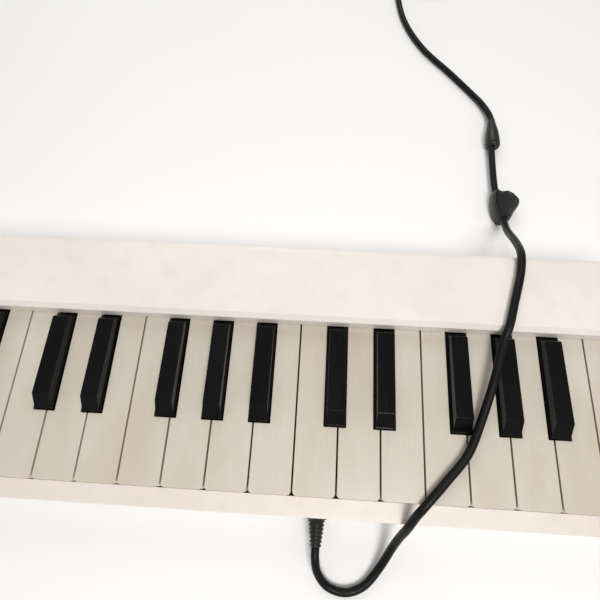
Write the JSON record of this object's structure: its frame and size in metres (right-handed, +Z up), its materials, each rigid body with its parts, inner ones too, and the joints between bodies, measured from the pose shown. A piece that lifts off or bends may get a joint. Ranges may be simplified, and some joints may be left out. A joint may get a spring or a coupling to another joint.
{
  "type": "melodica",
  "caption": "Keyed free-reed wind instrument with hinged piano-style keys, reed chamber, pull-off mouthpiece, water valve and a pickup lead.",
  "frame": {"origin": "under the middle of the instrument, from the mouthpiece's tip to the water valve's button, on the surface that it stands on", "axes": "+X towards the high notes, +Y away from the player, +Z up"},
  "size_m": [0.4538, 0.4909, 0.0513],
  "materials": {
    "case_plastic": "moulded, satin gloss",
    "rail_plastic": "moulded, satin gloss, warm white",
    "white_key": "polished, ivory white",
    "black_key": "polished, black",
    "inner_plastic": "moulded, matt",
    "mouth_plastic": "moulded, satin",
    "button_plastic": "moulded, satin",
    "gasket_rubber": "matt",
    "foot_rubber": "matt",
    "reed_brass": "brushed",
    "tongue_brass": "polished",
    "steel": "brushed",
    "spring_steel": "bright",
    "felt": "felt",
    "lead_jacket": "satin",
    "lead_fittings": "moulded, satin"
  },
  "bodies": {
    "case": {"bottom_case": "case_plastic", "front_rail": "rail_plastic", "left_end_cap": "case_plastic", "right_end_cap": "case_plastic", "rear_cover": "case_plastic", "air_chamber": "inner_plastic", "chamber_gasket": "gasket_rubber", "reed_plates": "reed_brass", "reed_tongues": "tongue_brass", "valve_board": "inner_plastic", "key_axle": "steel", "axle_bracket": "steel", "key_guides": "inner_plastic", "front_felt": "felt", "key_springs": "spring_steel", "water_valve_spring": "spring_steel", "case_screws": "steel", "rubber_feet": "foot_rubber", "pickup_disc": "tongue_brass", "lead_gland": "lead_jacket", "lead_run": "lead_jacket", "lead_sleeve": "lead_fittings", "lead_clip": "lead_fittings", "lead_coil": "lead_jacket", "lead_plug": "lead_fittings"},
    "mouthpiece": {"mouthpiece": "mouth_plastic"},
    "water_valve": {"water_valve_button": "button_plastic", "water_valve_seal": "gasket_rubber"},
    "key_f3": {"key_f3": "white_key"},
    "key_f_sharp3": {"key_f_sharp3": "black_key"},
    "key_g3": {"key_g3": "white_key"},
    "key_g_sharp3": {"key_g_sharp3": "black_key"},
    "key_a3": {"key_a3": "white_key"},
    "key_a_sharp3": {"key_a_sharp3": "black_key"},
    "key_b3": {"key_b3": "white_key"},
    "key_c4": {"key_c4": "white_key"},
    "key_c_sharp4": {"key_c_sharp4": "black_key"},
    "key_d4": {"key_d4": "white_key"},
    "key_d_sharp4": {"key_d_sharp4": "black_key"},
    "key_e4": {"key_e4": "white_key"},
    "key_f4": {"key_f4": "white_key"},
    "key_f_sharp4": {"key_f_sharp4": "black_key"},
    "key_g4": {"key_g4": "white_key"},
    "key_g_sharp4": {"key_g_sharp4": "black_key"},
    "key_a4": {"key_a4": "white_key"},
    "key_a_sharp4": {"key_a_sharp4": "black_key"},
    "key_b4": {"key_b4": "white_key"},
    "key_c5": {"key_c5": "white_key"},
    "key_c_sharp5": {"key_c_sharp5": "black_key"},
    "key_d5": {"key_d5": "white_key"},
    "key_d_sharp5": {"key_d_sharp5": "black_key"},
    "key_e5": {"key_e5": "white_key"},
    "key_f5": {"key_f5": "white_key"},
    "key_f_sharp5": {"key_f_sharp5": "black_key"},
    "key_g5": {"key_g5": "white_key"},
    "key_g_sharp5": {"key_g_sharp5": "black_key"},
    "key_a5": {"key_a5": "white_key"},
    "key_a_sharp5": {"key_a_sharp5": "black_key"},
    "key_b5": {"key_b5": "white_key"},
    "key_c6": {"key_c6": "white_key"}
  },
  "joints": [
    {"name": "f3_press", "type": "hinge", "parent": "case", "child": "key_f3", "pos_m": [0, 0.031, 0.03045], "axis": [1, 0, 0], "range_deg": [0, 2.6], "stiffness_Nm_per_rad": 0.44, "springref_deg": -4.58, "deforming": ["key_springs"]},
    {"name": "f_sharp3_press", "type": "hinge", "parent": "case", "child": "key_f_sharp3", "pos_m": [0, 0.031, 0.03045], "axis": [1, 0, 0], "range_deg": [0, 3], "stiffness_Nm_per_rad": 0.44, "springref_deg": -4.58, "deforming": ["key_springs"]},
    {"name": "g3_press", "type": "hinge", "parent": "case", "child": "key_g3", "pos_m": [0, 0.031, 0.03045], "axis": [1, 0, 0], "range_deg": [0, 2.6], "stiffness_Nm_per_rad": 0.44, "springref_deg": -4.58, "deforming": ["key_springs"]},
    {"name": "g_sharp3_press", "type": "hinge", "parent": "case", "child": "key_g_sharp3", "pos_m": [0, 0.031, 0.03045], "axis": [1, 0, 0], "range_deg": [0, 3], "stiffness_Nm_per_rad": 0.44, "springref_deg": -4.58, "deforming": ["key_springs"]},
    {"name": "a3_press", "type": "hinge", "parent": "case", "child": "key_a3", "pos_m": [0, 0.031, 0.03045], "axis": [1, 0, 0], "range_deg": [0, 2.6], "stiffness_Nm_per_rad": 0.44, "springref_deg": -4.58, "deforming": ["key_springs"]},
    {"name": "a_sharp3_press", "type": "hinge", "parent": "case", "child": "key_a_sharp3", "pos_m": [0, 0.031, 0.03045], "axis": [1, 0, 0], "range_deg": [0, 3], "stiffness_Nm_per_rad": 0.44, "springref_deg": -4.58, "deforming": ["key_springs"]},
    {"name": "b3_press", "type": "hinge", "parent": "case", "child": "key_b3", "pos_m": [0, 0.031, 0.03045], "axis": [1, 0, 0], "range_deg": [0, 2.6], "stiffness_Nm_per_rad": 0.44, "springref_deg": -4.58, "deforming": ["key_springs"]},
    {"name": "c4_press", "type": "hinge", "parent": "case", "child": "key_c4", "pos_m": [0, 0.031, 0.03045], "axis": [1, 0, 0], "range_deg": [0, 2.6], "stiffness_Nm_per_rad": 0.44, "springref_deg": -4.58, "deforming": ["key_springs"]},
    {"name": "c_sharp4_press", "type": "hinge", "parent": "case", "child": "key_c_sharp4", "pos_m": [0, 0.031, 0.03045], "axis": [1, 0, 0], "range_deg": [0, 3], "stiffness_Nm_per_rad": 0.44, "springref_deg": -4.58, "deforming": ["key_springs"]},
    {"name": "d4_press", "type": "hinge", "parent": "case", "child": "key_d4", "pos_m": [0, 0.031, 0.03045], "axis": [1, 0, 0], "range_deg": [0, 2.6], "stiffness_Nm_per_rad": 0.44, "springref_deg": -4.58, "deforming": ["key_springs"]},
    {"name": "d_sharp4_press", "type": "hinge", "parent": "case", "child": "key_d_sharp4", "pos_m": [0, 0.031, 0.03045], "axis": [1, 0, 0], "range_deg": [0, 3], "stiffness_Nm_per_rad": 0.44, "springref_deg": -4.58, "deforming": ["key_springs"]},
    {"name": "e4_press", "type": "hinge", "parent": "case", "child": "key_e4", "pos_m": [0, 0.031, 0.03045], "axis": [1, 0, 0], "range_deg": [0, 2.6], "stiffness_Nm_per_rad": 0.44, "springref_deg": -4.58, "deforming": ["key_springs"]},
    {"name": "f4_press", "type": "hinge", "parent": "case", "child": "key_f4", "pos_m": [0, 0.031, 0.03045], "axis": [1, 0, 0], "range_deg": [0, 2.6], "stiffness_Nm_per_rad": 0.44, "springref_deg": -4.58, "deforming": ["key_springs"]},
    {"name": "f_sharp4_press", "type": "hinge", "parent": "case", "child": "key_f_sharp4", "pos_m": [0, 0.031, 0.03045], "axis": [1, 0, 0], "range_deg": [0, 3], "stiffness_Nm_per_rad": 0.44, "springref_deg": -4.58, "deforming": ["key_springs"]},
    {"name": "g4_press", "type": "hinge", "parent": "case", "child": "key_g4", "pos_m": [0, 0.031, 0.03045], "axis": [1, 0, 0], "range_deg": [0, 2.6], "stiffness_Nm_per_rad": 0.44, "springref_deg": -4.58, "deforming": ["key_springs"]},
    {"name": "g_sharp4_press", "type": "hinge", "parent": "case", "child": "key_g_sharp4", "pos_m": [0, 0.031, 0.03045], "axis": [1, 0, 0], "range_deg": [0, 3], "stiffness_Nm_per_rad": 0.44, "springref_deg": -4.58, "deforming": ["key_springs"]},
    {"name": "a4_press", "type": "hinge", "parent": "case", "child": "key_a4", "pos_m": [0, 0.031, 0.03045], "axis": [1, 0, 0], "range_deg": [0, 2.6], "stiffness_Nm_per_rad": 0.44, "springref_deg": -4.58, "deforming": ["key_springs"]},
    {"name": "a_sharp4_press", "type": "hinge", "parent": "case", "child": "key_a_sharp4", "pos_m": [0, 0.031, 0.03045], "axis": [1, 0, 0], "range_deg": [0, 3], "stiffness_Nm_per_rad": 0.44, "springref_deg": -4.58, "deforming": ["key_springs"]},
    {"name": "b4_press", "type": "hinge", "parent": "case", "child": "key_b4", "pos_m": [0, 0.031, 0.03045], "axis": [1, 0, 0], "range_deg": [0, 2.6], "stiffness_Nm_per_rad": 0.44, "springref_deg": -4.58, "deforming": ["key_springs"]},
    {"name": "c5_press", "type": "hinge", "parent": "case", "child": "key_c5", "pos_m": [0, 0.031, 0.03045], "axis": [1, 0, 0], "range_deg": [0, 2.6], "stiffness_Nm_per_rad": 0.44, "springref_deg": -4.58, "deforming": ["key_springs"]},
    {"name": "c_sharp5_press", "type": "hinge", "parent": "case", "child": "key_c_sharp5", "pos_m": [0, 0.031, 0.03045], "axis": [1, 0, 0], "range_deg": [0, 3], "stiffness_Nm_per_rad": 0.44, "springref_deg": -4.58, "deforming": ["key_springs"]},
    {"name": "d5_press", "type": "hinge", "parent": "case", "child": "key_d5", "pos_m": [0, 0.031, 0.03045], "axis": [1, 0, 0], "range_deg": [0, 2.6], "stiffness_Nm_per_rad": 0.44, "springref_deg": -4.58, "deforming": ["key_springs"]},
    {"name": "d_sharp5_press", "type": "hinge", "parent": "case", "child": "key_d_sharp5", "pos_m": [0, 0.031, 0.03045], "axis": [1, 0, 0], "range_deg": [0, 3], "stiffness_Nm_per_rad": 0.44, "springref_deg": -4.58, "deforming": ["key_springs"]},
    {"name": "e5_press", "type": "hinge", "parent": "case", "child": "key_e5", "pos_m": [0, 0.031, 0.03045], "axis": [1, 0, 0], "range_deg": [0, 2.6], "stiffness_Nm_per_rad": 0.44, "springref_deg": -4.58, "deforming": ["key_springs"]},
    {"name": "f5_press", "type": "hinge", "parent": "case", "child": "key_f5", "pos_m": [0, 0.031, 0.03045], "axis": [1, 0, 0], "range_deg": [0, 2.6], "stiffness_Nm_per_rad": 0.44, "springref_deg": -4.58, "deforming": ["key_springs"]},
    {"name": "f_sharp5_press", "type": "hinge", "parent": "case", "child": "key_f_sharp5", "pos_m": [0, 0.031, 0.03045], "axis": [1, 0, 0], "range_deg": [0, 3], "stiffness_Nm_per_rad": 0.44, "springref_deg": -4.58, "deforming": ["key_springs"]},
    {"name": "g5_press", "type": "hinge", "parent": "case", "child": "key_g5", "pos_m": [0, 0.031, 0.03045], "axis": [1, 0, 0], "range_deg": [0, 2.6], "stiffness_Nm_per_rad": 0.44, "springref_deg": -4.58, "deforming": ["key_springs"]},
    {"name": "g_sharp5_press", "type": "hinge", "parent": "case", "child": "key_g_sharp5", "pos_m": [0, 0.031, 0.03045], "axis": [1, 0, 0], "range_deg": [0, 3], "stiffness_Nm_per_rad": 0.44, "springref_deg": -4.58, "deforming": ["key_springs"]},
    {"name": "a5_press", "type": "hinge", "parent": "case", "child": "key_a5", "pos_m": [0, 0.031, 0.03045], "axis": [1, 0, 0], "range_deg": [0, 2.6], "stiffness_Nm_per_rad": 0.44, "springref_deg": -4.58, "deforming": ["key_springs"]},
    {"name": "a_sharp5_press", "type": "hinge", "parent": "case", "child": "key_a_sharp5", "pos_m": [0, 0.031, 0.03045], "axis": [1, 0, 0], "range_deg": [0, 3], "stiffness_Nm_per_rad": 0.44, "springref_deg": -4.58, "deforming": ["key_springs"]},
    {"name": "b5_press", "type": "hinge", "parent": "case", "child": "key_b5", "pos_m": [0, 0.031, 0.03045], "axis": [1, 0, 0], "range_deg": [0, 2.6], "stiffness_Nm_per_rad": 0.44, "springref_deg": -4.58, "deforming": ["key_springs"]},
    {"name": "c6_press", "type": "hinge", "parent": "case", "child": "key_c6", "pos_m": [0, 0.031, 0.03045], "axis": [1, 0, 0], "range_deg": [0, 2.6], "stiffness_Nm_per_rad": 0.44, "springref_deg": -4.58, "deforming": ["key_springs"]},
    {"name": "mouthpiece_pull", "type": "slide", "parent": "case", "child": "mouthpiece", "axis": [-1, 0, 0], "range_m": [0, 0.015]},
    {"name": "water_valve_press", "type": "slide", "parent": "case", "child": "water_valve", "axis": [-1, 0, 0], "range_m": [0, 0.002], "stiffness_N_per_m": 400, "springref_m": -0.003, "deforming": ["water_valve_spring"]}
  ]
}
